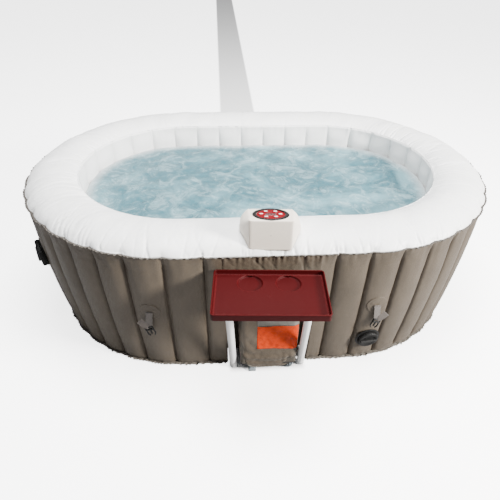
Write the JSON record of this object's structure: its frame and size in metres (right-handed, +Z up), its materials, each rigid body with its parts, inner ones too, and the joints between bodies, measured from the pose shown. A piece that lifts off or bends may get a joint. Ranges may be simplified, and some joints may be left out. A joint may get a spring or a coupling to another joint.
{
  "type": "inflatable hot tub",
  "caption": "Oval inflatable hot tub with ribbed walls, padded rim, built-in power unit with a control head on the rim, and a lift-off drink tray on legs.",
  "frame": {"origin": "on the floor, under the middle of the oval tub, at the underside of its base sheet", "axes": "+Z up, +X along the length of the tub, -Y towards the power unit and drink tray"},
  "size_m": [1.9022, 1.5133, 0.6973],
  "materials": {
    "brown_leatherette": "grained coated fabric, satin",
    "white_film": "smooth coated film, satin",
    "base_film": "coated film, matte",
    "foam": "closed-cell foam",
    "orange_patch": "woven-backed film, satin",
    "grey_patch": "film, satin",
    "unit_plastic": "moulded, fine texture",
    "black_plastic": "moulded, fine texture",
    "grey_rubber": "matte",
    "motor_metal": "brushed",
    "heater_metal": "oxidised",
    "light_plastic": "moulded",
    "circuit_board": "laminate",
    "head_plastic": "moulded, fine texture",
    "red_panel": "gloss film",
    "display": "gloss",
    "button_white": "satin",
    "maroon_plastic": "moulded, satin",
    "white_tube": "smooth",
    "leg_tip": "matte",
    "webbing": "woven",
    "water": "foaming water"
  },
  "bodies": {
    "root": {"outer_wall": "brown_leatherette", "rim_bolster": "white_film", "inner_wall": "white_film", "tub_floor": "white_film", "floor_mat": "foam", "base_sheet": "base_film", "wall_webs": "white_film", "rim_seam_flange": "base_film", "base_seam_flange": "base_film", "header_panel": "brown_leatherette", "recess_lining": "brown_leatherette", "rim_sleeve": "white_film", "air_channel": "white_film", "pocket_cover": "brown_leatherette", "vent_patch": "grey_patch", "access_patch": "orange_patch", "unit_case_front": "unit_plastic", "unit_case_back": "unit_plastic", "unit_base_plate": "black_plastic", "unit_feet": "grey_rubber", "neck_duct": "unit_plastic", "pump_housing": "black_plastic", "pump_motor": "motor_metal", "blower_housing": "black_plastic", "blower_motor": "motor_metal", "heater_tube": "motor_metal", "heater_element": "heater_metal", "control_board": "circuit_board", "unit_pipes": "unit_plastic", "cable_gland": "black_plastic", "control_housing": "head_plastic", "bezel_ring": "black_plastic", "button_panel": "red_panel", "display_window": "display", "key_board": "circuit_board", "tray_bracket": "black_plastic", "strap_patches": "brown_leatherette", "valve_bodies": "black_plastic", "filter_unit": "light_plastic"},
    "button_1": {"button_1": "button_white"},
    "button_2": {"button_2": "button_white"},
    "button_3": {"button_3": "button_white"},
    "button_4": {"button_4": "button_white"},
    "button_5": {"button_5": "button_white"},
    "button_6": {"button_6": "button_white"},
    "tray": {"drink_tray": "maroon_plastic", "tray_legs": "white_tube", "leg_tips": "leg_tip"},
    "strap_front_left": {"strap_front_left": "webbing"},
    "strap_front_right": {"strap_front_right": "webbing"},
    "strap_back_left": {"strap_back_left": "webbing"},
    "strap_back_right": {"strap_back_right": "webbing"},
    "drain_cap": {"drain_cap": "black_plastic"},
    "air_valve_cap": {"air_valve_cap": "black_plastic"},
    "caster_front": {"caster_forks_front": "black_plastic"},
    "caster_wheel_front": {"caster_wheel_front": "grey_rubber"},
    "caster_rear": {"caster_forks_rear": "black_plastic"},
    "caster_wheel_rear": {"caster_wheel_rear": "grey_rubber"},
    "pump_impeller": {"pump_impeller": "light_plastic"},
    "blower_fan": {"blower_fan": "light_plastic"}
  },
  "joints": [
    {"name": "button_1_press", "type": "slide", "parent": "root", "child": "button_1", "axis": [0.0137, 0.2245, 0.9744], "range_m": [-0.0008, 0], "stiffness_N_per_m": 400},
    {"name": "button_2_press", "type": "slide", "parent": "root", "child": "button_2", "axis": [0.0137, 0.2245, 0.9744], "range_m": [-0.0008, 0], "stiffness_N_per_m": 400},
    {"name": "button_3_press", "type": "slide", "parent": "root", "child": "button_3", "axis": [0.0137, 0.2245, 0.9744], "range_m": [-0.0008, 0], "stiffness_N_per_m": 400},
    {"name": "button_4_press", "type": "slide", "parent": "root", "child": "button_4", "axis": [0.0137, 0.2245, 0.9744], "range_m": [-0.0008, 0], "stiffness_N_per_m": 400},
    {"name": "button_5_press", "type": "slide", "parent": "root", "child": "button_5", "axis": [0.0137, 0.2245, 0.9744], "range_m": [-0.0008, 0], "stiffness_N_per_m": 400},
    {"name": "button_6_press", "type": "slide", "parent": "root", "child": "button_6", "axis": [0.0137, 0.2245, 0.9744], "range_m": [-0.0008, 0], "stiffness_N_per_m": 400},
    {"name": "tray_lift", "type": "slide", "parent": "root", "child": "tray", "axis": [0, 0, 1], "range_m": [0, 0.04]},
    {"name": "strap_front_left_swing", "type": "hinge", "parent": "root", "child": "strap_front_left", "pos_m": [-0.42736, -0.61206, 0.318], "axis": [-0.9821, 0.1883, 0], "range_deg": [0, 85]},
    {"name": "strap_front_right_swing", "type": "hinge", "parent": "root", "child": "strap_front_right", "pos_m": [0.39083, -0.61795, 0.318], "axis": [-0.9916, -0.1297, 0], "range_deg": [0, 85]},
    {"name": "strap_back_left_swing", "type": "hinge", "parent": "root", "child": "strap_back_left", "pos_m": [-0.39735, 0.61706, 0.318], "axis": [0.9901, 0.1402, 0], "range_deg": [0, 85]},
    {"name": "strap_back_right_swing", "type": "hinge", "parent": "root", "child": "strap_back_right", "pos_m": [0.39735, 0.61706, 0.318], "axis": [0.9901, -0.1402, 0], "range_deg": [0, 85]},
    {"name": "drain_cap_turn", "type": "hinge", "parent": "root", "child": "drain_cap", "pos_m": [0.38738, -0.59151, 0.13], "axis": [0.1283, -0.9809, -0.1463], "continuous": true},
    {"name": "air_valve_cap_turn", "type": "hinge", "parent": "root", "child": "air_valve_cap", "pos_m": [-0.87783, -0.25282, 0.34], "axis": [-0.9098, -0.4051, -0.09], "continuous": true},
    {"name": "caster_front_swivel", "type": "hinge", "parent": "root", "child": "caster_front", "pos_m": [0.067, -0.606, 0.047], "axis": [0, 0, 1], "continuous": true},
    {"name": "caster_front_roll", "type": "hinge", "parent": "caster_front", "child": "caster_wheel_front", "pos_m": [0.079, -0.606, 0.0205], "axis": [0, 1, 0], "continuous": true},
    {"name": "caster_rear_swivel", "type": "hinge", "parent": "root", "child": "caster_rear", "pos_m": [0.067, -0.534, 0.047], "axis": [0, 0, 1], "continuous": true},
    {"name": "caster_rear_roll", "type": "hinge", "parent": "caster_rear", "child": "caster_wheel_rear", "pos_m": [0.079, -0.534, 0.0205], "axis": [0, 1, 0], "continuous": true},
    {"name": "pump_spin", "type": "hinge", "parent": "root", "child": "pump_impeller", "pos_m": [-0.06, -0.572, 0.112], "axis": [1, 0, 0], "continuous": true},
    {"name": "blower_spin", "type": "hinge", "parent": "root", "child": "blower_fan", "pos_m": [-0.06, -0.572, 0.226], "axis": [1, 0, 0], "continuous": true}
  ]
}
